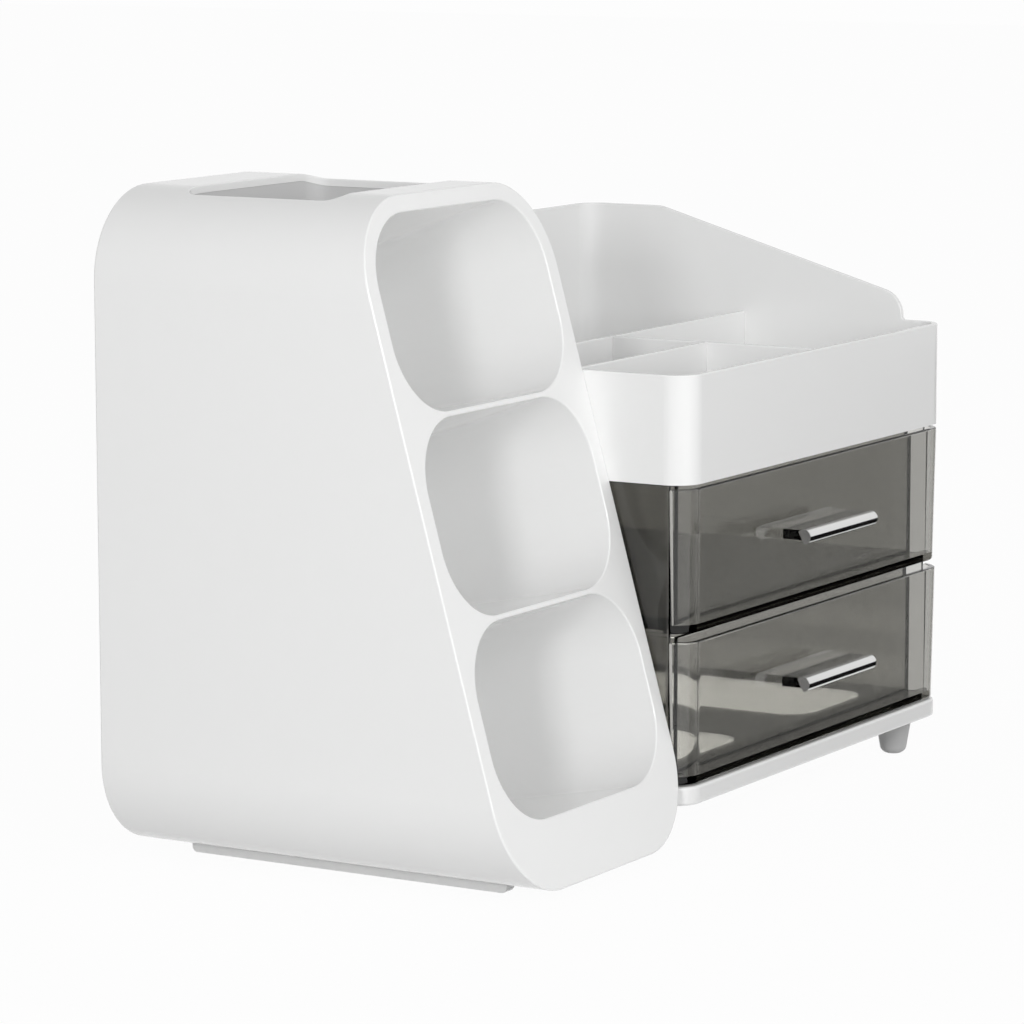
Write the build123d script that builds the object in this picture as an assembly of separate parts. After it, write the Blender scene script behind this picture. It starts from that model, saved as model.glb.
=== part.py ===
from build123d import *
import math
import os

# Desk organiser in two units that stand side by side: an oblique brush holder with three cups,
# and a drawer unit with an open tray over two drawers.  Millimetres, +Z up, front towards -Y.
# The origin is at the middle of the whole organiser's extent, handles included, on the surface it
# stands on.

# ---------------------------------------------------------------- driving sizes: brush holder
holder_width = 120.0          # outside, left to right
holder_height = 225.0         # outside, without the rails under it
holder_depth = 164.0          # front to back along the bottom
face_setback = 63.0           # how far the slanted face leans back at its top edge
holder_corner_radius = 30.5   # the big rounding of the tube, seen from the front
holder_wall = 2.5
face_thickness = 3.0          # the slanted face that the mouths are cut in
face_edge_rounding = 0.6
holder_back_rounding = 1.0

mouth_side_margin = 6.75      # tube side to mouth
lowest_mouth_lift = 23.9      # bare part of the face under the lowest mouth, along the slope
face_top_margin = 5.9         # top edge of the face to the highest mouth, along the slope
mouth_rib = 1.7               # face left standing between two mouths
mouth_corner_radius = 24.5
mouth_draft = 0.3             # each mouth narrows by this on every side through the face
mouth_edge_rounding = 0.5
cup_count = 3
cup_wall = 1.0
cup_taper_deg = 4.0           # each wall of a cup leans in by this angle
cup_back_margin = 2.2         # deepest point of the highest cup to the back panel
cup_floor_margin = 0.5        # lowest point of the lowest cup to the tube's floor
cup_end_rounding = 9.0

slot_side_margin = 19.8       # tube side to the opening in the top
slot_front_margin = 17.3      # top edge of the face to that opening
slot_back_margin = 23.0       # back of the tube to that opening
slot_corner_radius = 6.0
slot_lip_rounding = 0.4
well_wall = 1.5
well_slot_ledge = 0.4         # the well is wider than the opening by this all round
well_cup_gap = 0.6            # space between the well's floor and the highest cup

back_panel_thickness = 2.5
back_panel_clearance = 0.15
back_pull_radius = 9.0        # finger notch that lets the panel be lifted out
back_pull_edge_gap = 22.0     # centre of the notch above the bottom of the panel

rail_height = 4.6
rail_width = 5.0
rail_inset = 1.8              # end of the tube's rounding to the rail
rail_front_margin = 23.0
rail_back_margin = 15.0
rail_end_rounding = 2.0

# ---------------------------------------------------------------- driving sizes: drawer unit
unit_width = 201.5
unit_depth = 156.0
unit_setback = 3.4            # front of the drawer unit behind the foot of the slanted face
unit_corner_radius = 9.6

foot_height = 14.5
foot_top_radius = 7.0
foot_tip_radius = 4.6
foot_tip_rounding = 3.2
foot_inset = 13.6             # unit side and unit front to the foot's axis
foot_stem_radius = 2.5
foot_stem_length = 3.6
foot_stem_clearance = 0.05
foot_boss_wall = 1.6

base_height = 6.6
base_wall = 2.2
base_top_thickness = 2.4
base_edge_rounding = 1.0
base_rib_thickness = 1.6

casing_inset = 8.5            # unit side to the casing's inner wall, which the drawer runs along
casing_front_gap = 12.3       # front of the unit to the front of the inner walls and of the floor
skin_inset = 0.8              # unit side to the casing's outer skin
skin_front_gap = 7.9          # front of the unit to the front of the outer skin
channel_floor_gap = 21.5      # front of the unit to the floor between skin and inner wall
casing_back_gap = 1.0
casing_wall = 2.0
casing_corner_radius = 4.0    # back corners of the bay that the drawer runs in
casing_edge_rounding = 0.5
lower_floor_thickness = 1.2
upper_floor_thickness = 2.2
floor_panel_step = 1.0        # the middle of the upper floor is thicker than its border by this
floor_panel_margin = 14.0     # casing's inner wall to that thicker panel
floor_panel_radius = 10.0

window_width = 56.0           # two openings in the lower floor, one left and one right
window_side_margin = 12.5     # casing's inner wall to a window
window_front_margin = 9.0
window_back_margin = 26.0
window_corner_radius = 12.0
pad_clearance = 0.4           # each window holds a raised pad of the base

drawer_height = 49.0
drawer_lift = 0.3             # running gap under a drawer
drawer_head_gap = 1.5         # drawer's rim to what is above it
drawer_side_gap = 0.6         # running gap between drawer and casing, each side
drawer_back_gap = 1.5
drawer_front_gap = 0.8        # floor of a drawer's wide front to the casing's front edge
front_wall = 2.2              # thickness of the wide front and of its side returns
front_depth = 7.3             # the wide front with its returns, front to back
front_draft = 0.7             # the wide front is narrower at its bottom by this, each side
front_drop = 1.2              # the wide front hangs below the drawer's box by this
front_floor = 2.9             # thickness of the floor that joins the wide front to the box
box_lead = 2.2                # the drawer's box stands ahead of the casing's front edge by this
drawer_wall = 1.8
drawer_floor = 2.4
drawer_corner_radius = 4.0
drawer_bottom_rounding = 0.9
drawer_rim_rounding = 0.5

handle_length = 53.0
handle_stand_off = 7.9        # drawer front to the axis of the grip
grip_radius = 2.7
grip_flat_offset = 1.1        # grip's axis to the flat cut along its back
grip_flat_tilt_deg = 29.6
handle_web_height = 3.6

tray_front_height = 37.8      # underside of the tray to the rim at its front
tray_back_height = 76.8       # underside of the tray to its highest edge
tray_wall = 2.2
tray_floor = 2.2
tray_crest_length = 34.0      # level part of each side wall's top, from the back
tray_step_back = 17.6         # front of the tray to where the side walls rise
tray_shoulder_rise = 9.0      # front rim to where each side wall's slope would begin
tray_crest_radius = 16.0
tray_shoulder_radius = 10.0
tray_step_radius = 1.3
tray_rim_rounding = 0.4
tray_floor_rounding = 1.5

divider_thickness = 1.8
divider_clearance = 0.1
divider_edge_rounding = 0.5
long_divider_from_front = 85.3    # centre of the divider that runs the whole width
deep_divider_from_left = 97.4     # centre of the divider that runs front to back, and of the handles
short_divider_from_front = 46.1

rivet_radius = 2.5
rivet_hole_clearance = 0.1
rivet_head_radius = 4.5
rivet_head_thickness = 1.2
rivet_lift = 19.0             # rivets above the underside of the tray
rivet_front_margin = 60.0     # front rivet behind the front of the unit
rivet_spacing = 56.0

# ---------------------------------------------------------------- places worked out from the sizes
overall_depth = holder_depth - unit_setback + handle_stand_off + grip_radius
x_left = -(holder_width + unit_width) / 2
y_back = overall_depth / 2
y_front = y_back - holder_depth

holder_x = x_left + holder_width / 2
holder_low = rail_height
holder_top = holder_low + holder_height
slope_length = math.hypot(holder_height, face_setback)
slope_cos = holder_height / slope_length
slope_sin = face_setback / slope_length

# On this plane x runs to the right, y up the slanted face and z out of it.
face_plane = Plane(origin=(holder_x, y_front, holder_low), x_dir=(1, 0, 0), z_dir=(0, -slope_cos, slope_sin))

mouth_width = holder_width - 2 * mouth_side_margin
mouth_height = (slope_length - lowest_mouth_lift - face_top_margin - (cup_count - 1) * mouth_rib) / cup_count

# The cups end short of the back panel, or of the tube's floor if the lowest one would reach it first.
cup_taper = math.radians(cup_taper_deg)
cup_end_radius = cup_end_rounding + cup_wall
cup_low_start = lowest_mouth_lift + mouth_draft - cup_wall + cup_end_radius / math.cos(cup_taper)
cup_drop = cup_low_start * slope_cos - cup_end_radius - holder_wall - cup_floor_margin
cup_length_to_back = (holder_depth - face_setback - back_panel_thickness - cup_back_margin) / slope_cos
cup_length_to_floor = cup_drop / (slope_sin - math.tan(cup_taper) * slope_cos) + cup_end_rounding
cup_length = min(cup_length_to_back, cup_length_to_floor)

slot_width = holder_width - 2 * slot_side_margin
slot_front = y_front + face_setback + slot_front_margin
slot_depth = y_back - slot_back_margin - slot_front

unit_left = x_left + holder_width
unit_x = unit_left + unit_width / 2
unit_front = y_front + unit_setback
unit_back = unit_front + unit_depth

base_low = foot_height
base_top = base_low + base_height
casing_front = unit_front + casing_front_gap
casing_depth = unit_depth - casing_front_gap - casing_back_gap
casing_width = unit_width - 2 * casing_inset
bay_width = casing_width - 2 * casing_wall
bay_depth = casing_depth - casing_wall
lower_drawer_low = base_top + lower_floor_thickness + drawer_lift
upper_casing_low = lower_drawer_low + drawer_height + drawer_head_gap
upper_drawer_low = upper_casing_low + upper_floor_thickness + drawer_lift
tray_low = upper_drawer_low + drawer_height + drawer_head_gap
tray_rim = tray_low + tray_front_height
tray_crest = tray_low + tray_back_height


# ---------------------------------------------------------------- helpers
def block(x_mid, y_low, z_low, width, depth, height):
    """Box centred on x_mid, with its front at y_low and its underside at z_low."""
    return Pos(x_mid, y_low, z_low) * Box(width, depth, height, align=(Align.CENTER, Align.MIN, Align.MIN))


def rounded_block(x_mid, y_low, z_low, width, depth, height, radius):
    """Like block, with its four upright edges rounded."""
    outline = Pos(x_mid, y_low + depth / 2, z_low) * RectangleRounded(width, depth, radius)
    return extrude(outline, height)


def open_box(width, y_start, depth, z_low, z_high, radius):
    """Block from y_start back whose two upright back edges are rounded."""
    body = block(unit_x, y_start, z_low, width, depth, z_high - z_low)
    return fillet(body.edges().filter_by(Axis.Z).group_by(Axis.Y)[-1], radius)


def upright_rod(x, y, z_low, radius, height):
    """Upright cylinder that stands on z_low."""
    return Pos(x, y, z_low) * Cylinder(radius, height, align=(Align.CENTER, Align.CENTER, Align.MIN))


def level_rod(x_low, y, z, radius, length):
    """Cylinder along X that starts at x_low."""
    rod = Cylinder(radius, length, align=(Align.CENTER, Align.CENTER, Align.MIN))
    return Pos(x_low, y, z) * Rot(0, 90, 0) * rod


def edges_at_height(shape, z):
    """Edges of shape that lie level at height z."""
    return shape.edges().filter_by_position(Axis.Z, z - 0.01, z + 0.01)


# ---------------------------------------------------------------- brush holder
def tube_solid(inset, y_low, y_high):
    """The tube's rounded section, drawn in by inset, from y_low to y_high."""
    section = Plane.XZ * Pos(holder_x, holder_low + holder_height / 2) * RectangleRounded(
        holder_width - 2 * inset, holder_height - 2 * inset, holder_corner_radius - inset)
    return Pos(0, y_low, 0) * extrude(section, y_high - y_low, dir=(0, 1, 0))


def ahead_of_face(depth):
    """Everything in front of a plane that lies depth behind the slanted face."""
    reach = 2 * (slope_length + holder_depth)
    half_space = Box(reach, reach, reach, align=(Align.CENTER, Align.CENTER, Align.MIN))
    return face_plane * Pos(0, 0, -depth) * half_space


def mouth_outline(index, depth, shrink, radius):
    """Rounded outline of mouth number index, drawn in by shrink, on a plane depth behind the face."""
    rise = lowest_mouth_lift + index * (mouth_height + mouth_rib) + mouth_height / 2
    return face_plane * Pos(0, rise, -depth) * RectangleRounded(
        mouth_width - 2 * shrink, mouth_height - 2 * shrink, radius)


def make_holder_shell():
    """Tube with a slanted face, three mouths in the face and an opening in its top."""
    shell = tube_solid(0, y_front, y_back) - ahead_of_face(0)
    face_rim = shell.faces().sort_by(Axis.Y)[0].edges()
    back_rim = shell.faces().sort_by(Axis.Y)[-1].edges()
    shell = fillet(face_rim, face_edge_rounding)
    back_rim = shell.faces().sort_by(Axis.Y)[-1].edges()
    shell = fillet(back_rim, holder_back_rounding)
    slot = rounded_block(holder_x, slot_front, holder_top - holder_corner_radius / 2,
                         slot_width, slot_depth, holder_corner_radius, slot_corner_radius)
    shell -= slot
    lip = shell.edges().filter_by(lambda edge: in_slot_lip(edge))
    shell = fillet(lip, slot_lip_rounding)
    shell -= tube_solid(holder_wall, y_front, y_back + 1) - ahead_of_face(face_thickness)
    for index in range(cup_count):
        shell -= loft([
            mouth_outline(index, 0, 0, mouth_corner_radius),
            mouth_outline(index, face_thickness, mouth_draft, mouth_corner_radius - mouth_draft),
        ], ruled=True)
    mouth_edges = shell.edges().filter_by(lambda edge: on_mouth_edge(edge))
    shell = fillet(mouth_edges, mouth_edge_rounding)
    for x, y, z in rivet_places():
        shell -= level_rod(x - holder_wall - 1, y, z, rivet_radius + rivet_hole_clearance, holder_wall + 1)
    return shell


def in_slot_lip(edge):
    """Whether an edge runs round the opening in the top, on the tube's outer surface."""
    middle = edge.center(CenterOf.BOUNDING_BOX)
    inside_x = abs(middle.X - holder_x) < slot_width / 2 + 0.1
    inside_y = slot_front - 0.1 < middle.Y < slot_front + slot_depth + 0.1
    return inside_x and inside_y and middle.Z > holder_top - holder_corner_radius / 3


def on_mouth_edge(edge):
    """Whether an edge is the front edge of a mouth."""
    middle = face_plane.to_local_coords(edge.center(CenterOf.BOUNDING_BOX))
    lies_in_face = abs(middle.Z) < 0.05
    return lies_in_face and abs(middle.X) < mouth_width / 2 + 0.1 and edge_is_level_with_face(edge)


def edge_is_level_with_face(edge):
    """Whether both ends of an edge lie in the slanted face, inside its rounded rim."""
    ends = [face_plane.to_local_coords(edge.position_at(share)) for share in (0, 1)]
    return all(abs(end.Z) < 0.05 and face_edge_rounding + 1 < end.Y < slope_length - face_edge_rounding - 1
               for end in ends)


def make_cup(index):
    """One tapered cup, closed at its deep end, whose rim is bonded to the back of the face."""
    shrink = mouth_draft + cup_length * math.tan(cup_taper)
    end_radius = mouth_corner_radius - shrink
    inner = loft([
        mouth_outline(index, face_thickness, mouth_draft, mouth_corner_radius - mouth_draft),
        mouth_outline(index, cup_length, shrink, end_radius),
    ], ruled=True)
    inner = fillet(deep_edges(inner), cup_end_rounding)
    mouth_radius = mouth_corner_radius - mouth_draft
    outer = loft([
        mouth_outline(index, face_thickness, mouth_draft - cup_wall, mouth_radius + cup_wall),
        mouth_outline(index, cup_length + cup_wall, shrink - cup_wall, end_radius + cup_wall),
    ], ruled=True)
    outer = fillet(deep_edges(outer), cup_end_radius)
    return outer - inner


def deep_edges(shape):
    """Edges round the face of a cup that lies deepest behind the slanted face."""
    inward = Axis((0, 0, 0), (0, slope_cos, -slope_sin))
    return shape.faces().sort_by(inward)[-1].edges()


def below_well_floor(lift):
    """Everything under a plane that lies lift above the outside of the highest cup's top wall."""
    dip = math.atan2(slope_sin, slope_cos) + cup_taper
    rim_rise = slope_length - face_top_margin + cup_wall - mouth_draft
    start_y = y_front + rim_rise * slope_sin
    start_z = holder_low + rim_rise * slope_cos
    up = (0, math.sin(dip), math.cos(dip))
    floor = Plane(origin=(holder_x, start_y, start_z), x_dir=(1, 0, 0), z_dir=up)
    reach = 4 * holder_depth
    return floor * Pos(0, 0, lift) * Box(reach, reach, reach, align=(Align.CENTER, Align.CENTER, Align.MAX))


def make_top_well():
    """Shallow well under the opening in the top, with a floor that slopes over the highest cup."""
    outside = well_slot_ledge + well_wall
    depth = holder_height / 2
    body = rounded_block(holder_x, slot_front - outside, holder_top - depth, slot_width + 2 * outside,
                         slot_depth + 2 * outside, depth, slot_corner_radius + outside)
    body &= tube_solid(holder_wall, y_front, y_back)
    body -= below_well_floor(well_cup_gap)
    space = rounded_block(holder_x, slot_front - well_slot_ledge, holder_top - depth,
                          slot_width + 2 * well_slot_ledge, slot_depth + 2 * well_slot_ledge, depth + 1,
                          slot_corner_radius + well_slot_ledge)
    space -= below_well_floor(well_cup_gap + well_wall)
    return body - space


def make_holder_back_panel():
    """Panel that closes the back of the tube, with a finger notch low on it."""
    panel = tube_solid(holder_wall + back_panel_clearance, y_back - back_panel_thickness, y_back)
    notch = Pos(holder_x, y_back, holder_low + holder_wall + back_pull_edge_gap) * Sphere(back_pull_radius)
    notch &= block(holder_x, y_back - back_panel_thickness / 2, holder_low, holder_width, holder_depth,
                   holder_height)
    return panel - notch


def make_foot_rail(side):
    """Flat rail along the underside of the tube; side is -1 on the left and 1 on the right."""
    reach = holder_width / 2 - holder_corner_radius - rail_inset - rail_width / 2
    length = holder_depth - rail_front_margin - rail_back_margin
    rail = block(holder_x + side * reach, y_front + rail_front_margin, 0, rail_width, length, rail_height)
    return fillet(edges_at_height(rail, 0).filter_by(Axis.X), rail_end_rounding)


# ---------------------------------------------------------------- base and feet
def foot_places():
    """Name and axis of each foot.  Both are on the right: the brush holder carries the left side."""
    x = unit_left + unit_width - foot_inset
    return {"front_right": (x, unit_front + foot_inset), "back_right": (x, unit_back - foot_inset)}


def make_foot(x, y):
    """Tapered soft foot with a stem that plugs into the base."""
    cone = Pos(x, y, 0) * Cone(foot_tip_radius, foot_top_radius, foot_height,
                               align=(Align.CENTER, Align.CENTER, Align.MIN))
    cone = fillet(edges_at_height(cone, 0), foot_tip_rounding)
    return cone + upright_rod(x, y, foot_height - 0.5, foot_stem_radius, foot_stem_length + 0.5)


def window_places():
    """Middle of the left and the right window in the lower casing's floor."""
    reach = bay_width / 2 - window_side_margin - window_width / 2
    return [unit_x - reach, unit_x + reach]


def window_block(x_mid, z_low, height, shrink):
    """Solid that fills one window, drawn in by shrink on every side."""
    front = casing_front + window_front_margin + shrink
    depth = bay_depth - window_front_margin - window_back_margin - 2 * shrink
    return rounded_block(x_mid, front, z_low, window_width - 2 * shrink, depth, height,
                         window_corner_radius - shrink)


def make_base():
    """Shallow base, open underneath, with sockets for the feet and two pads that locate the casing."""
    base = rounded_block(unit_x, unit_front, base_low, unit_width, unit_depth, base_height,
                         unit_corner_radius)
    base = fillet(edges_at_height(base, base_low) + edges_at_height(base, base_top), base_edge_rounding)
    hollow_height = base_height - base_top_thickness
    base -= rounded_block(unit_x, unit_front + base_wall, base_low, unit_width - 2 * base_wall,
                          unit_depth - 2 * base_wall, hollow_height, unit_corner_radius - base_wall)
    base += block(unit_x, unit_front + base_wall, base_low, base_rib_thickness, unit_depth - 2 * base_wall,
                  hollow_height)
    base += block(unit_x, unit_front + unit_depth / 2, base_low, unit_width - 2 * base_wall,
                  base_rib_thickness, hollow_height)
    socket_radius = foot_stem_radius + foot_stem_clearance
    for x, y in foot_places().values():
        base += upright_rod(x, y, base_low, socket_radius + foot_boss_wall, hollow_height)
    for x, y in foot_places().values():
        base -= upright_rod(x, y, base_low, socket_radius, foot_stem_length + foot_stem_clearance)
    for x in window_places():
        base += window_block(x, base_top, lower_floor_thickness - drawer_lift / 2, pad_clearance)
    return base


# ---------------------------------------------------------------- casings
def make_casing(z_low, height, floor_thickness):
    """Open-fronted casing: two inner walls with a floor between them, and an outer skin on three sides."""
    skin_front = unit_front + skin_front_gap
    skin_depth = casing_front + casing_depth - skin_front
    skin_radius = unit_corner_radius - skin_inset
    room_width = unit_width - 2 * (skin_inset + casing_wall)
    body = open_box(unit_width - 2 * skin_inset, skin_front, skin_depth, z_low, z_low + height, skin_radius)
    channels = open_box(room_width, skin_front - 1, skin_depth + 1 - casing_wall, z_low + floor_thickness,
                        z_low + height + 1, skin_radius - casing_wall)
    open_floor = block(unit_x, skin_front - 1, z_low - 1, room_width, channel_floor_gap - skin_front_gap + 1,
                       floor_thickness + 2)
    inner_casing = block(unit_x, casing_front, z_low - 2, casing_width, casing_depth, height + 4)
    body -= channels + open_floor - inner_casing
    body -= open_box(bay_width, casing_front - 1, bay_depth + 1, z_low + floor_thickness, z_low + height + 1,
                     casing_corner_radius)
    for y in (skin_front, casing_front):
        body = fillet(body.edges().filter_by(Axis.Z).filter_by_position(Axis.Y, y - 0.01, y + 0.01),
                      casing_edge_rounding)
    return body


def make_lower_casing():
    """Casing of the lower drawer, with two windows in its floor."""
    casing = make_casing(base_top, upper_casing_low - base_top, lower_floor_thickness)
    for x in window_places():
        casing -= window_block(x, base_top - 1, lower_floor_thickness + 2, 0)
    return casing


def make_upper_casing():
    """Casing of the upper drawer, whose floor is thinner round its border."""
    casing = make_casing(upper_casing_low, tray_low - upper_casing_low, upper_floor_thickness)
    border = block(unit_x, casing_front + casing_wall, upper_casing_low, bay_width, bay_depth - casing_wall,
                   floor_panel_step)
    panel = rounded_block(unit_x, casing_front + floor_panel_margin / 2, upper_casing_low,
                          bay_width - 2 * floor_panel_margin, bay_depth - 1.5 * floor_panel_margin,
                          floor_panel_step, floor_panel_radius)
    return casing - (border - panel)


# ---------------------------------------------------------------- drawers
def front_outline(inset, depth, radius, z):
    """Plan of a drawer's wide front part, rounded at its two front corners."""
    plan = Rectangle(unit_width - 2 * inset, depth - inset, align=(Align.CENTER, Align.MIN))
    outline = Pos(0, inset) * plan
    outline = fillet(outline.vertices().group_by(Axis.Y)[0], radius)
    return Pos(unit_x, unit_front, z) * outline


def front_solid(z_low, z_high, inset, depth):
    """The wide front part between two heights, with its draft, drawn in by inset."""
    low_share = front_draft * (drawer_height - z_low) / drawer_height
    high_share = front_draft * (drawer_height - z_high) / drawer_height
    radius = unit_corner_radius - inset
    return loft([
        front_outline(inset + low_share, depth, radius, z_low),
        front_outline(inset + high_share, depth, radius, z_high),
    ], ruled=True)


def make_drawer():
    """Drawer: a box that runs in the casing, behind a wide front with short returns, joined by a floor."""
    width = bay_width - 2 * drawer_side_gap
    full_round = 2 * unit_corner_radius
    front = front_solid(-front_drop, drawer_height, 0, full_round)
    front = fillet(low_front_edges(front), drawer_bottom_rounding)
    floor = block(unit_x, unit_front, -2 * front_drop, unit_width, front_depth, front_drop + front_floor)
    front -= front_solid(-2 * front_drop, drawer_height + 1, front_wall, full_round + 1) - floor
    front -= block(unit_x, unit_front + front_depth, -2 * front_drop, 2 * unit_width, unit_depth,
                   2 * drawer_height)
    front += block(unit_x, unit_front + front_wall, -front_drop, width,
                   casing_front_gap - drawer_front_gap - front_wall, front_floor)

    y_start = casing_front - box_lead
    depth = bay_depth + box_lead - drawer_back_gap
    box = open_box(width, y_start, depth, 0, drawer_height + 1, drawer_corner_radius)
    space = open_box(width - 2 * drawer_wall, y_start + drawer_wall, depth - 2 * drawer_wall, drawer_floor,
                     drawer_height + 2, drawer_corner_radius - drawer_wall)
    drawer = front + box - space
    drawer -= block(unit_x, unit_front - 1, drawer_height, 2 * unit_width, 2 * unit_depth, drawer_height)
    rim = edges_at_height(drawer, drawer_height)
    return fillet(rim, drawer_rim_rounding)


def low_front_edges(shape):
    """Edges round the underside of a drawer's front part, except its straight back edge."""
    return edges_at_height(shape, -front_drop).sort_by(Axis.Y)[:-1]


def make_handle(drawer_low):
    """The plated D-shaped grip, and the web of the drawer's front that it is bonded to."""
    x_mid = unit_left + deep_divider_from_left
    grip_z = drawer_low + drawer_height / 2
    front_y = unit_front + front_draft / 2
    grip_y = unit_front - handle_stand_off
    grip = level_rod(x_mid - handle_length / 2, grip_y, grip_z, grip_radius, handle_length)
    cut = Pos(x_mid, grip_y, grip_z) * Rot(-grip_flat_tilt_deg, 0, 0) * Pos(0, grip_flat_offset, 0) * Box(
        2 * handle_length, 4 * grip_radius, 4 * grip_radius, align=(Align.CENTER, Align.MIN, Align.CENTER))
    grip -= cut
    web_low = grip_z + grip_radius * math.cos(math.radians(grip_flat_tilt_deg)) - handle_web_height
    web = block(x_mid, grip_y, web_low, handle_length, front_y - grip_y + front_draft, handle_web_height)
    return grip, web


# ---------------------------------------------------------------- tray
def tray_side_profile():
    """Side view of the tray at its right side: low front rim, step, slope and level crest."""
    step = unit_front + tray_step_back
    crest_start = unit_back - tray_crest_length
    shoulder = tray_rim + tray_shoulder_rise
    slope = math.atan2(tray_crest - shoulder, crest_start - step)
    half_turn = (math.pi / 2 - slope) / 2
    room = (tray_shoulder_rise - tray_step_radius) / math.tan(half_turn)
    shoulder_radius = min(tray_shoulder_radius, 0.99 * room)
    points = [
        (unit_front, tray_low),
        (unit_back, tray_low),
        (unit_back, tray_crest),
        (crest_start, tray_crest),
        (step, shoulder),
        (step, tray_rim),
        (unit_front, tray_rim),
    ]
    profile = make_face(Plane.YZ * Polyline(*points, close=True))
    for (y, z), radius in ((points[3], tray_crest_radius), (points[4], shoulder_radius),
                           (points[5], tray_step_radius)):
        corner = [v for v in profile.vertices() if abs(v.Y - y) < 0.01 and abs(v.Z - z) < 0.01]
        profile = fillet(corner, radius)
    return profile


def left_side_opening():
    """Side view of what is taken away over the low left side, next to the brush holder."""
    back = unit_back - unit_corner_radius
    opening = Plane.YZ * Pos(unit_front - 1, tray_rim) * Rectangle(
        back - unit_front + 1, tray_back_height, align=(Align.MIN, Align.MIN))
    corner = opening.vertices().group_by(Axis.Z)[0].sort_by(Axis.Y)[-1]
    return fillet(corner, tray_step_radius)


def make_tray():
    """Open tray with a low front and left side, a sloping right side and a high back."""
    body = rounded_block(unit_x, unit_front, tray_low, unit_width, unit_depth, tray_back_height,
                         unit_corner_radius)
    body &= extrude(Pos(unit_left, 0, 0) * tray_side_profile(), unit_width, dir=(1, 0, 0))
    body -= extrude(Pos(unit_left - 1, 0, 0) * left_side_opening(), unit_width / 2, dir=(1, 0, 0))
    space = rounded_block(unit_x, unit_front + tray_wall, tray_low + tray_floor, unit_width - 2 * tray_wall,
                          unit_depth - 2 * tray_wall, tray_back_height, unit_corner_radius - tray_wall)
    space = fillet(edges_at_height(space, tray_low + tray_floor), tray_floor_rounding)
    body -= space
    rim = body.faces().filter_by(lambda face: on_tray_rim(face)).edges()
    body = fillet(unique_long_edges(rim), tray_rim_rounding)
    for x, y, z in rivet_places():
        body -= level_rod(x - 1, y, z, rivet_radius + rivet_hole_clearance, tray_wall + 2)
    return body


def on_tray_rim(face):
    """Whether a face is part of the tray's narrow top rim."""
    return face.center().Z > tray_rim - 0.5 and face.normal_at().Z > 0.1


def unique_long_edges(edges):
    """The rim's long edges, without the short ones that cross the wall from outside to inside."""
    return [edge for edge in edges if edge.length > tray_wall + 0.2]


def divider_plate(x_mid, y_mid, width, depth):
    """Upright divider that stands on the tray's floor and ends level with the front rim."""
    height = tray_front_height - tray_floor
    plate = block(x_mid, y_mid - depth / 2, tray_low + tray_floor, width, depth, height)
    along, across = (Axis.X, Axis.Y) if width > depth else (Axis.Y, Axis.X)
    plate = fillet(edges_at_height(plate, tray_rim).filter_by(along), divider_edge_rounding)
    return chamfer(edges_at_height(plate, tray_low + tray_floor).filter_by(across), tray_floor_rounding)


def long_divider_y():
    """Centre of the divider that runs the whole width of the tray."""
    return unit_front + long_divider_from_front


def make_long_divider():
    """Divider that parts the back compartment from the front ones."""
    width = unit_width - 2 * tray_wall - 2 * divider_clearance
    return divider_plate(unit_x, long_divider_y(), width, divider_thickness)


def make_deep_divider():
    """Divider from the front wall back to the long divider."""
    start = unit_front + tray_wall + divider_clearance
    end = long_divider_y() - divider_thickness / 2 - divider_clearance
    x = unit_left + deep_divider_from_left
    return divider_plate(x, (start + end) / 2, divider_thickness, end - start)


def make_short_divider():
    """Divider from the left wall to the deep divider."""
    start = unit_left + tray_wall + divider_clearance
    end = unit_left + deep_divider_from_left - divider_thickness / 2 - divider_clearance
    y = unit_front + short_divider_from_front
    return divider_plate((start + end) / 2, y, end - start, divider_thickness)


# ---------------------------------------------------------------- what joins the two units
def rivet_places():
    """Where the two rivets cross the wall between brush holder and tray."""
    first = unit_front + rivet_front_margin
    return [(unit_left, first + step * rivet_spacing, tray_low + rivet_lift) for step in (0, 1)]


def make_rivet(x, y, z):
    """Snap rivet through the holder's wall and the tray's wall, with a flat head at each end."""
    shank = level_rod(x - holder_wall, y, z, rivet_radius, holder_wall + tray_wall)
    inner_head = level_rod(x - holder_wall - rivet_head_thickness, y, z, rivet_head_radius,
                           rivet_head_thickness)
    tray_head = level_rod(x + tray_wall, y, z, rivet_head_radius, rivet_head_thickness)
    return shank + inner_head + tray_head


# ---------------------------------------------------------------- all pieces
def make_parts():
    """Every piece under its own name."""
    parts = {"holder_shell": make_holder_shell()}
    for index, name in enumerate(("cup_lower", "cup_middle", "cup_upper")):
        parts[name] = make_cup(index)
    parts["top_well"] = make_top_well()
    parts["holder_back_panel"] = make_holder_back_panel()
    parts["foot_rail_left"] = make_foot_rail(-1)
    parts["foot_rail_right"] = make_foot_rail(1)
    parts["base"] = make_base()
    for place, (x, y) in foot_places().items():
        parts[f"foot_{place}"] = make_foot(x, y)
    parts["lower_casing"] = make_lower_casing()
    parts["upper_casing"] = make_upper_casing()
    drawer = make_drawer()
    for level, drawer_low in (("lower", lower_drawer_low), ("upper", upper_drawer_low)):
        tub = Pos(0, 0, drawer_low) * drawer
        grip, web = make_handle(drawer_low)
        parts[f"{level}_drawer"] = tub + (web - grip)
        parts[f"{level}_handle"] = grip
    parts["tray"] = make_tray()
    parts["long_divider"] = make_long_divider()
    parts["deep_divider"] = make_deep_divider()
    parts["short_divider"] = make_short_divider()
    parts["joining_rivets"] = Compound(children=[make_rivet(*place) for place in rivet_places()])
    return parts


os.makedirs("parts", exist_ok=True)
for node, shape in make_parts().items():
    export_step(shape, f"parts/{node}.step")
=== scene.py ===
"""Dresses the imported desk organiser: a slanted brush holder beside a tray with two smoky drawers."""

import logging
import math
from dataclasses import dataclass
from enum import Enum
from typing import Iterable

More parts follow.
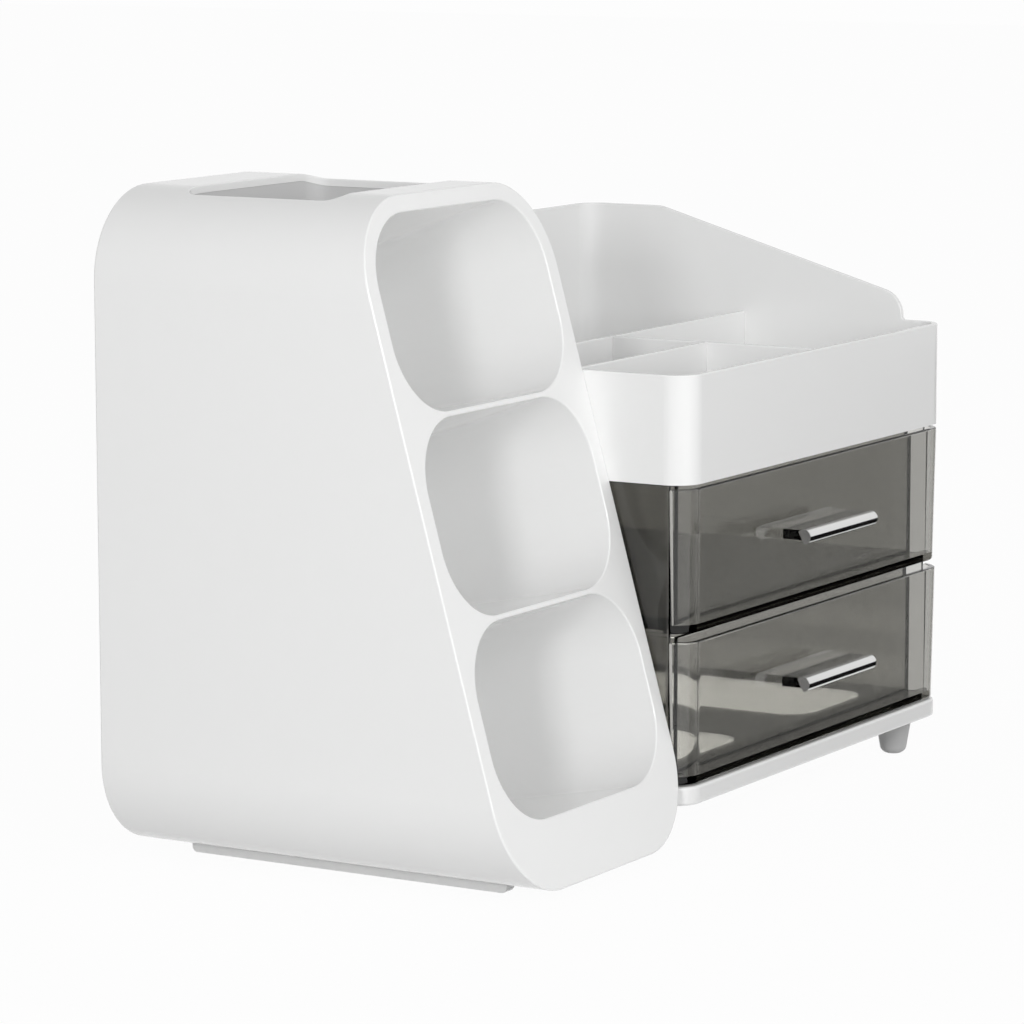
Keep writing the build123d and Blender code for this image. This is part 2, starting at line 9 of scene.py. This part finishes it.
import bpy
from mathutils import Matrix, Vector


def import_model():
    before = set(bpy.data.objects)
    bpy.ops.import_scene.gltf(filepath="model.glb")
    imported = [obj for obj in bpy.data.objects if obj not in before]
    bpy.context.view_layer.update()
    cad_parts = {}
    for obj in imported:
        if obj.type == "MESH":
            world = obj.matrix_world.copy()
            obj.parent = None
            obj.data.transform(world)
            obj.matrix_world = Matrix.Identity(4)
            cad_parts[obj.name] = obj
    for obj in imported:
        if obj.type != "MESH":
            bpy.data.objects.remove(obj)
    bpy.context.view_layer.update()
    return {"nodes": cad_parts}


LOG = logging.getLogger("organiser")


class Finish(Enum):
    """The finishes that the organiser's pieces have."""

    WHITE_PLASTIC = "white_plastic"
    # The cup finish is white plastic with painted shade and painted light for the cups' insides.
    CUP_PLASTIC = "cup_plastic_painted_shade_and_light"
    # Painted shade: the well's finish is a grey copy of the white plastic.
    WELL_PLASTIC = "white_plastic_painted_shade"
    # The base finish glows as painted light on its raised pads.
    BASE_PLASTIC = "base_white_plastic_painted_light"
    DRAWER_PLASTIC = "smoky_drawer_plastic"
    CASING_PLASTIC = "smoky_casing_plastic"
    HANDLE_PLATING = "handle_plating"
    FOOT_RUBBER = "foot_rubber"


class Level(Enum):
    """The two drawers, by where they are."""

    LOWER = "lower"
    UPPER = "upper"


class NodeCanvas:
    """Adds shader nodes to one node tree and joins them."""

    def __init__(self, tree: bpy.types.NodeTree) -> None:
        """Keeps the tree.

        Args:
            tree: the material's, world's or group's node tree.
        """
        self.tree = tree

    def add(self, kind: str, **settings: object) -> bpy.types.Node:
        """Adds a node.

        Args:
            kind: Blender's name of the node's type.
            **settings: values for the node's own properties.

        Returns:
            The new node.
        """
        node = self.tree.nodes.new(kind)
        for name, value in settings.items():
            setattr(node, name, value)
        return node

    def join(self, start: bpy.types.NodeSocket, end: bpy.types.NodeSocket) -> None:
        """Links an output to an input.

        Args:
            start: the output socket.
            end: the input socket.
        """
        self.tree.links.new(start, end)

    def math(self, operation: str, first: object, second: object) -> bpy.types.NodeSocket:
        """Adds a Math node.

        Args:
            operation: its operation, such as MULTIPLY.
            first: a number or an output socket.
            second: a number or an output socket.

        Returns:
            The node's output.
        """
        node = self.add("ShaderNodeMath", operation=operation)
        for socket, value in zip(node.inputs, (first, second)):
            if isinstance(value, bpy.types.NodeSocket):
                self.join(value, socket)
            else:
                socket.default_value = value
        return node.outputs[0]


class SharedGroup:
    """A node group that is built once and then shared by the materials."""

    NAME = ""
    INPUTS: dict[str, float] = {}
    OUTPUTS: tuple[str, ...] = ()

    def build(self) -> bpy.types.NodeTree:
        """Builds the group, or finds it if it is built already.

        Returns:
            The node group.
        """
        if self.NAME in bpy.data.node_groups:
            return bpy.data.node_groups[self.NAME]
        tree = bpy.data.node_groups.new(self.NAME, "ShaderNodeTree")
        for name, start in self.INPUTS.items():
            socket = tree.interface.new_socket(name, in_out="INPUT", socket_type="NodeSocketFloat")
            socket.default_value = start
        for name in self.OUTPUTS:
            tree.interface.new_socket(name, in_out="OUTPUT", socket_type="NodeSocketFloat")
        canvas = NodeCanvas(tree)
        given = canvas.add("NodeGroupInput").outputs
        result = canvas.add("NodeGroupOutput").inputs
        self.fill(canvas, given, result)
        return tree

    def fill(self, canvas: NodeCanvas, given: bpy.types.bpy_prop_collection,
             result: bpy.types.bpy_prop_collection) -> None:
        """Adds the group's own nodes.

        Args:
            canvas: where they go.
            given: the sockets of the group's inputs.
            result: the sockets of the group's outputs.
        """
        raise NotImplementedError


class MouldedSurfaceGroup(SharedGroup):
    """The look of an injection-moulded skin: slow ripples, fine texture and uneven gloss."""

    NAME = "moulded_surface"
    INPUTS = {
        "Ripple Scale": 14.0,
        "Grain Scale": 900.0,
        "Grain Share": 0.1,
        "Gloss": 0.25,
        "Gloss Spread": 0.06,
    }
    OUTPUTS = ("Height", "Roughness")
    HAZE_FINENESS = 3.0

    def fill(self, canvas: NodeCanvas, given: bpy.types.bpy_prop_collection,
             result: bpy.types.bpy_prop_collection) -> None:
        """Adds the ripples and grain that make the height, and the haze that makes the roughness."""
        place = canvas.add("ShaderNodeTexCoord").outputs["Object"]
        ripple = self._noise(canvas, place, given["Ripple Scale"], detail=1.0)
        grain = self._noise(canvas, place, given["Grain Scale"], detail=2.0)
        share = canvas.math("MULTIPLY", grain, given["Grain Share"])
        canvas.join(canvas.math("ADD", ripple, share), result["Height"])
        haze_scale = canvas.math("MULTIPLY", given["Ripple Scale"], self.HAZE_FINENESS)
        haze = self._noise(canvas, place, haze_scale, detail=4.0)
        centred = canvas.math("SUBTRACT", haze, 0.5)
        spread = canvas.math("MULTIPLY", centred, given["Gloss Spread"])
        canvas.join(canvas.math("ADD", spread, given["Gloss"]), result["Roughness"])

    @staticmethod
    def _noise(canvas: NodeCanvas, place: bpy.types.NodeSocket, scale: bpy.types.NodeSocket,
               detail: float) -> bpy.types.NodeSocket:
        """Adds a noise texture.

        Args:
            canvas: where it goes.
            place: the coordinates it reads.
            scale: the output that sets its scale.
            detail: how many finer layers it has.

        Returns:
            The noise's value.
        """
        noise = canvas.add("ShaderNodeTexNoise")
        noise.inputs["Detail"].default_value = detail
        canvas.join(place, noise.inputs["Vector"])
        canvas.join(scale, noise.inputs["Scale"])
        return noise.outputs[0]


class LevelFaceGroup(SharedGroup):
    """A mask of the faces that lie level, such as the top and the underside of a floor."""

    NAME = "level_face"
    INPUTS = {"Least Upright Share": 0.8}
    OUTPUTS = ("Mask",)

    def fill(self, canvas: NodeCanvas, given: bpy.types.bpy_prop_collection,
             result: bpy.types.bpy_prop_collection) -> None:
        """Adds the test of how upright the face's normal is, by its square."""
        split = canvas.add("ShaderNodeSeparateXYZ")
        canvas.join(canvas.add("ShaderNodeNewGeometry").outputs["Normal"], split.inputs[0])
        upright = canvas.math("MULTIPLY", split.outputs["Z"], split.outputs["Z"])
        canvas.join(canvas.math("GREATER_THAN", upright, given["Least Upright Share"]), result["Mask"])


class HeightMaskGroup(SharedGroup):
    """A mask of what lies higher than a given height above the surface it stands on, in metres."""

    NAME = "height_mask"
    INPUTS = {"Lowest": 0.0}
    OUTPUTS = ("Mask",)

    def fill(self, canvas: NodeCanvas, given: bpy.types.bpy_prop_collection,
             result: bpy.types.bpy_prop_collection) -> None:
        """Adds the test of how high the point lies."""
        split = canvas.add("ShaderNodeSeparateXYZ")
        canvas.join(canvas.add("ShaderNodeNewGeometry").outputs["Position"], split.inputs[0])
        canvas.join(canvas.math("GREATER_THAN", split.outputs["Z"], given["Lowest"]), result["Mask"])


@dataclass(frozen=True)
class MouldedFinish:
    """What every moulded finish shares: its gloss and the depth of its ripples, in metres."""

    name: str
    gloss: float
    gloss_spread: float
    ripple_depth: float
    grain_share: float = 0.05

    def start(self) -> tuple[bpy.types.Material, NodeCanvas, bpy.types.Node]:
        """Makes the material with its moulded surface.

        Returns:
            The material, its canvas and its Principled BSDF.
        """
        material = bpy.data.materials.new(self.name)
        material.use_nodes = True
        canvas = NodeCanvas(material.node_tree)
        shader = material.node_tree.nodes["Principled BSDF"]
        surface = canvas.add("ShaderNodeGroup", node_tree=MouldedSurfaceGroup().build())
        surface.inputs["Gloss"].default_value = self.gloss
        surface.inputs["Gloss Spread"].default_value = self.gloss_spread
        surface.inputs["Grain Share"].default_value = self.grain_share
        bump = canvas.add("ShaderNodeBump")
        bump.inputs["Distance"].default_value = self.ripple_depth
        bump.inputs["Strength"].default_value = 1.0
        canvas.join(surface.outputs["Height"], bump.inputs["Height"])
        canvas.join(bump.outputs["Normal"], shader.inputs["Normal"])
        canvas.join(surface.outputs["Roughness"], shader.inputs["Roughness"])
        return material, canvas, shader


@dataclass(frozen=True)
class WhitePlastic(MouldedFinish):
    """Glossy white plastic, which can carry painted light: a glow all over or only above a height given in
    metres.
    """

    colour: tuple[float, float, float, float] = (0.92, 0.922, 0.918, 1.0)
    ior: float = 1.5
    glow: float = 0.0
    painted_light_above: float | None = None

    def material(self) -> bpy.types.Material:
        """Builds the material, whose glow stands for light that reaches it through other walls.

        Returns:
            The material.
        """
        material, canvas, shader = self.start()
        shader.inputs["Base Color"].default_value = self.colour
        shader.inputs["IOR"].default_value = self.ior
        # Painted light: the emission brightens the part as if light reached it through other walls, all over
        # or only above the given height.
        shader.inputs["Emission Strength"].default_value = self.glow
        if self.painted_light_above is not None:
            mask = canvas.add("ShaderNodeGroup", node_tree=HeightMaskGroup().build())
            mask.inputs["Lowest"].default_value = self.painted_light_above
            canvas.join(mask.outputs["Mask"], shader.inputs["Emission Color"])
        return material


@dataclass(frozen=True)
class SmokyPlastic(MouldedFinish):
    """Clear plastic with a smoky tint, deeper where light goes further through it, and with painted shade:
    level faces take a darker tint where they are seen.
    """

    ior: float = 1.49
    density: float = 245.0
    tint: tuple[float, float, float, float] = (0.41, 0.40, 0.36, 1.0)
    level_face_painted_shade: tuple[float, float, float, float] = (0.85, 0.85, 0.83, 1.0)
    surface_loss: tuple[float, float, float, float] = (0.93, 0.93, 0.93, 1.0)

    def material(self) -> bpy.types.Material:
        """Builds the material, which lets lamp light through to what is behind it.

        Returns:
            The material.
        """
        material, canvas, shader = self.start()
        # Painted shade: level faces such as floors take a darker tint for camera and mirror rays, while
        # shadow and diffuse rays pass them as clear plastic.
        mask = canvas.add("ShaderNodeGroup", node_tree=LevelFaceGroup().build())
        body = canvas.add("ShaderNodeMix", data_type="RGBA")
        body.inputs["A"].default_value = (1.0, 1.0, 1.0, 1.0)
        body.inputs["B"].default_value = self.level_face_painted_shade
        canvas.join(mask.outputs["Mask"], body.inputs["Factor"])
        canvas.join(body.outputs["Result"], shader.inputs["Base Color"])
        shader.inputs["Transmission Weight"].default_value = 1.0
        shader.inputs["IOR"].default_value = self.ior
        output = material.node_tree.nodes["Material Output"]
        absorb = canvas.add("ShaderNodeVolumeAbsorption")
        absorb.inputs["Color"].default_value = self.tint
        absorb.inputs["Density"].default_value = self.density
        canvas.join(absorb.outputs["Volume"], output.inputs["Volume"])
        path = canvas.add("ShaderNodeLightPath")
        lighting = canvas.math("MAXIMUM", path.outputs["Is Shadow Ray"], path.outputs["Is Diffuse Ray"])
        clear = canvas.add("ShaderNodeBsdfTransparent")
        clear.inputs["Color"].default_value = self.surface_loss
        mix = canvas.add("ShaderNodeMixShader")
        canvas.join(lighting, mix.inputs["Fac"])
        canvas.join(shader.outputs["BSDF"], mix.inputs[1])
        canvas.join(clear.outputs["BSDF"], mix.inputs[2])
        canvas.join(mix.outputs[0], output.inputs["Surface"])
        return material


@dataclass(frozen=True)
class BrightPlating(MouldedFinish):
    """Bright plating over a moulded handle."""

    colour: tuple[float, float, float, float] = (0.70, 0.70, 0.695, 1.0)

    def material(self) -> bpy.types.Material:
        """Builds the material.

        Returns:
            The material.
        """
        material, _, shader = self.start()
        shader.inputs["Base Color"].default_value = self.colour
        shader.inputs["Metallic"].default_value = 1.0
        return material


@dataclass(frozen=True)
class SoftRubber(MouldedFinish):
    """Milky grey rubber that lets a little light through."""

    colour: tuple[float, float, float, float] = (0.48, 0.48, 0.48, 1.0)
    milkiness: float = 0.3
    milky_depth: float = 0.002

    def material(self) -> bpy.types.Material:
        """Builds the material.

        Returns:
            The material.
        """
        material, _, shader = self.start()
        shader.inputs["Base Color"].default_value = self.colour
        shader.inputs["Subsurface Weight"].default_value = self.milkiness
        shader.inputs["Subsurface Radius"].default_value = (1.0, 1.0, 1.0)
        shader.inputs["Subsurface Scale"].default_value = self.milky_depth
        return material


class Finishes:
    """Every finish of the organiser."""

    def __init__(self) -> None:
        """Builds each material once."""
        makers = (
            WhitePlastic(Finish.WHITE_PLASTIC.value, 0.15, 0.04, 0.00002),
            # The cups are a slightly darker copy of the white plastic with a faint glow: painted shade and
            # painted light for the cups' insides.
            WhitePlastic(Finish.CUP_PLASTIC.value, 0.15, 0.04, 0.00002, colour=(0.905, 0.907, 0.903, 1.0),
                         glow=0.02),
            # Painted shade: the top well is a grey copy of the white plastic, standing for the shade down in
            # the slot.
            WhitePlastic(Finish.WELL_PLASTIC.value, 0.2, 0.04, 0.00002, colour=(0.66, 0.66, 0.66, 1.0)),
            # Painted light: the base glows strongly above 21.6 mm, where its raised pads show through the
            # smoky floors.
            WhitePlastic(Finish.BASE_PLASTIC.value, 0.15, 0.04, 0.00002, glow=3.0, painted_light_above=0.0216),
            # Painted shade: both smoky finishes tint their level faces darker where they are seen, the
            # casings' near black.
            SmokyPlastic(Finish.DRAWER_PLASTIC.value, 0.02, 0.02, 0.000005, grain_share=0.0),
            SmokyPlastic(Finish.CASING_PLASTIC.value, 0.02, 0.02, 0.000005, grain_share=0.0, density=390.0,
                         level_face_painted_shade=(0.08, 0.08, 0.078, 1.0)),
            BrightPlating(Finish.HANDLE_PLATING.value, 0.16, 0.06, 0.00001),
            SoftRubber(Finish.FOOT_RUBBER.value, 0.4, 0.1, 0.00002),
        )
        self.materials: dict[str, bpy.types.Material] = {maker.name: maker.material() for maker in makers}

    def dress(self, node: bpy.types.Object, finish: Finish) -> None:
        """Gives a node its finish.

        Args:
            node: the node's object.
            finish: the finish that it has.
        """
        material = self.materials[finish.value]
        if not node.material_slots:
            node.data.materials.append(material)
        for place in node.material_slots:
            place.material = material


class Unit:
    """A part of the organiser whose nodes are dressed together."""

    def title(self) -> str:
        """Says what the unit is called in the log."""
        raise NotImplementedError

    def plan(self) -> dict[str, Finish]:
        """Says which finish each of the unit's nodes has."""
        raise NotImplementedError

    def dress(self, nodes: dict[str, bpy.types.Object], finishes: Finishes) -> None:
        """Gives each of the unit's nodes its finish.

        Args:
            nodes: the frame's nodes by name.
            finishes: the organiser's finishes.
        """
        for name, finish in self.plan().items():
            finishes.dress(nodes[name], finish)
        LOG.info("%s dressed", self.title())


@dataclass
class BrushHolder(Unit):
    """The slanted holder with its cups, top well, back panel and rails."""

    shell: str = "holder_shell"
    cups: tuple[str, ...] = ("cup_lower", "cup_middle", "cup_upper")
    well: str = "top_well"
    back_panel: str = "holder_back_panel"
    rails: tuple[str, ...] = ("foot_rail_left", "foot_rail_right")

    def title(self) -> str:
        """Says what the unit is called in the log."""
        return "brush holder"

    def plan(self) -> dict[str, Finish]:
        """Says which finish each of the unit's nodes has."""
        plan = dict.fromkeys((self.shell, self.back_panel, *self.rails), Finish.WHITE_PLASTIC)
        plan.update(dict.fromkeys(self.cups, Finish.CUP_PLASTIC))
        plan[self.well] = Finish.WELL_PLASTIC
        return plan


@dataclass
class Tray(Unit):
    """The open tray with its dividers, and the rivets that hold it to the brush holder."""

    tray: str = "tray"
    dividers: tuple[str, ...] = ("long_divider", "deep_divider", "short_divider")
    rivets: str = "joining_rivets"

    def title(self) -> str:
        """Says what the unit is called in the log."""
        return "tray"

    def plan(self) -> dict[str, Finish]:
        """Says which finish each of the unit's nodes has."""
        return dict.fromkeys((self.tray, *self.dividers, self.rivets), Finish.WHITE_PLASTIC)


@dataclass
class DrawerBay(Unit):
    """One smoky casing with its drawer and handle."""

    level: Level

    def title(self) -> str:
        """Says what the unit is called in the log."""
        return f"{self.level.value} drawer"

    def plan(self) -> dict[str, Finish]:
        """Says which finish each of the unit's nodes has."""
        return {
            f"{self.level.value}_casing": Finish.CASING_PLASTIC,
            f"{self.level.value}_drawer": Finish.DRAWER_PLASTIC,
            f"{self.level.value}_handle": Finish.HANDLE_PLATING,
        }


@dataclass
class Base(Unit):
    """The white base with its two feet."""

    plate: str = "base"
    feet: tuple[str, ...] = ("foot_front_right", "foot_back_right")

    def title(self) -> str:
        """Says what the unit is called in the log."""
        return "base"

    def plan(self) -> dict[str, Finish]:
        """Says which finish each of the unit's nodes has."""
        return {self.plate: Finish.BASE_PLASTIC, **dict.fromkeys(self.feet, Finish.FOOT_RUBBER)}


@dataclass
class Lamp:
    """One soft rectangular lamp that faces the organiser."""

    name: str
    place: tuple[float, float, float]
    size: tuple[float, float]
    watts: float
    aim: tuple[float, float, float] = (0.0, 0.0, 0.11)

    def build(self) -> None:
        """Adds the lamp to the scene."""
        data = bpy.data.lights.new(self.name, "AREA")
        data.shape = "RECTANGLE"
        data.size, data.size_y = self.size
        data.energy = self.watts
        lamp = bpy.data.objects.new(self.name, data)
        lamp.location = self.place
        way = Vector(self.aim) - Vector(self.place)
        lamp.rotation_euler = way.to_track_quat("-Z", "Y").to_euler()
        bpy.context.scene.collection.objects.link(lamp)


@dataclass
class Studio:
    """The pale floor, the soft light and the camera at the photograph's angle."""

    camera_place: tuple[float, float, float] = (-1.4029, -0.8208, 0.3491)
    camera_turn_deg: float = 59.09
    camera_dip_deg: float = 8.48
    camera_roll_deg: float = -0.12
    lens_mm: float = 162.05
    sensor_mm: float = 36.0
    floor_size: float = 12.0
    floor_colour: tuple[float, float, float, float] = (0.86, 0.86, 0.86, 1.0)
    floor_glow: float = 0.96
    sky_seen: float = 0.983
    sky_light: float = 0.43
    flag_reach: tuple[float, float] = (1.6, 1.2)
    flag_start: tuple[float, float] = (-0.05, -0.095)
    flag_height: float = 0.001
    flag_colour: tuple[float, float, float, float] = (0.01, 0.01, 0.01, 1.0)
    lamps: tuple[Lamp, ...] = (
        Lamp("key_lamp", (-1.8, -0.56, 0.50), (0.22, 0.22), 7.2),
        Lamp("front_lamp", (-0.9, -1.7, 0.7), (1.2, 1.0), 14.5),
    )

    def build(self) -> None:
        """Adds the whole studio."""
        self._floor()
        self._flag()
        self._sky()
        for lamp in self.lamps:
            lamp.build()
        self._camera()
        bpy.context.scene.view_settings.view_transform = "Standard"
        LOG.info("studio built")

    @staticmethod
    def _sheet(name: str, low: tuple[float, float], high: tuple[float, float], height: float,
               ) -> tuple[bpy.types.Object, NodeCanvas]:
        """Adds a level sheet with an empty material.

        Args:
            name: name of the object and its material.
            low: its lowest x and y.
            high: its highest x and y.
            height: its z.

        Returns:
            The object and the canvas of its material.
        """
        mesh = bpy.data.meshes.new(name)
        (x_low, y_low), (x_high, y_high) = low, high
        outline = ((x_low, y_low), (x_high, y_low), (x_high, y_high), (x_low, y_high))
        mesh.from_pydata([(x, y, height) for x, y in outline], [], [(0, 1, 2, 3)])
        sheet = bpy.data.objects.new(name, mesh)
        bpy.context.scene.collection.objects.link(sheet)
        material = bpy.data.materials.new(name)
        material.use_nodes = True
        material.node_tree.nodes.clear()
        mesh.materials.append(material)
        return sheet, NodeCanvas(material.node_tree)

    def _flag(self) -> None:
        """Adds the black sheet in front of the drawers, which shows in reflections alone as a painted dark
        reflection.
        """
        x_low, y_high = self.flag_start
        width, depth = self.flag_reach
        low, high = (x_low, y_high - depth), (x_low + width, y_high)
        flag, canvas = self._sheet("black_flag", low, high, self.flag_height)
        cloth = canvas.add("ShaderNodeBsdfDiffuse")
        cloth.inputs["Color"].default_value = self.flag_colour
        canvas.join(cloth.outputs[0], canvas.add("ShaderNodeOutputMaterial").inputs["Surface"])
        flag.visible_camera = False
        flag.visible_diffuse = False
        flag.visible_transmission = False
        flag.visible_shadow = False

    def _floor(self) -> None:
        """Adds a floor that camera, mirror and glass rays see near white, with the soft shadow kept."""
        half = self.floor_size / 2
        _, canvas = self._sheet("floor_paper", (-half, -half), (half, half), 0.0)
        paper = canvas.add("ShaderNodeBsdfDiffuse")
        paper.inputs["Color"].default_value = self.floor_colour
        glow = canvas.add("ShaderNodeEmission")
        glow.inputs["Strength"].default_value = 1.0
        share = canvas.math("MULTIPLY", self._seen(canvas), self.floor_glow)
        mix = canvas.add("ShaderNodeMixShader")
        canvas.join(share, mix.inputs["Fac"])
        canvas.join(paper.outputs[0], mix.inputs[1])
        canvas.join(glow.outputs[0], mix.inputs[2])
        canvas.join(mix.outputs[0], canvas.add("ShaderNodeOutputMaterial").inputs["Surface"])

    @staticmethod
    def _seen(canvas: NodeCanvas) -> bpy.types.NodeSocket:
        """Finds rays that look at the background.

        Args:
            canvas: where the nodes go.

        Returns:
            An output that is 1 for camera, glossy and transmission rays.
        """
        path = canvas.add("ShaderNodeLightPath")
        mirrored = canvas.math("MAXIMUM", path.outputs["Is Glossy Ray"], path.outputs["Is Transmission Ray"])
        return canvas.math("MAXIMUM", mirrored, path.outputs["Is Camera Ray"])

    def _sky(self) -> None:
        """Sets an even white surround, brighter where it is looked at than where it lights."""
        world = bpy.data.worlds.new("surround")
        bpy.context.scene.world = world
        world.use_nodes = True
        canvas = NodeCanvas(world.node_tree)
        background = world.node_tree.nodes["Background"]
        background.inputs["Color"].default_value = (1.0, 1.0, 1.0, 1.0)
        gain = canvas.math("MULTIPLY", self._seen(canvas), self.sky_seen - self.sky_light)
        canvas.join(canvas.math("ADD", gain, self.sky_light), background.inputs["Strength"])

    def _camera(self) -> None:
        """Adds the camera."""
        data = bpy.data.cameras.new("camera")
        data.lens = self.lens_mm
        data.sensor_width = self.sensor_mm
        camera = bpy.data.objects.new("camera", data)
        turn = Matrix.Rotation(math.radians(-self.camera_turn_deg), 4, "Z")
        dip = Matrix.Rotation(math.radians(90.0 - self.camera_dip_deg), 4, "X")
        roll = Matrix.Rotation(math.radians(self.camera_roll_deg), 4, "Z")
        camera.matrix_world = Matrix.Translation(self.camera_place) @ turn @ dip @ roll
        bpy.context.scene.collection.objects.link(camera)
        bpy.context.scene.camera = camera


def main() -> None:
    """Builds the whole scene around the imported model."""
    logging.basicConfig(level=logging.INFO, format="%(name)s: %(message)s")
    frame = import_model()
    nodes = frame["nodes"]
    finishes = Finishes()
    for unit in (BrushHolder(), Tray(), DrawerBay(Level.LOWER), DrawerBay(Level.UPPER), Base()):
        unit.dress(nodes, finishes)
    Studio().build()
    LOG.info("sizes written")


if __name__ == "__main__":
    main()
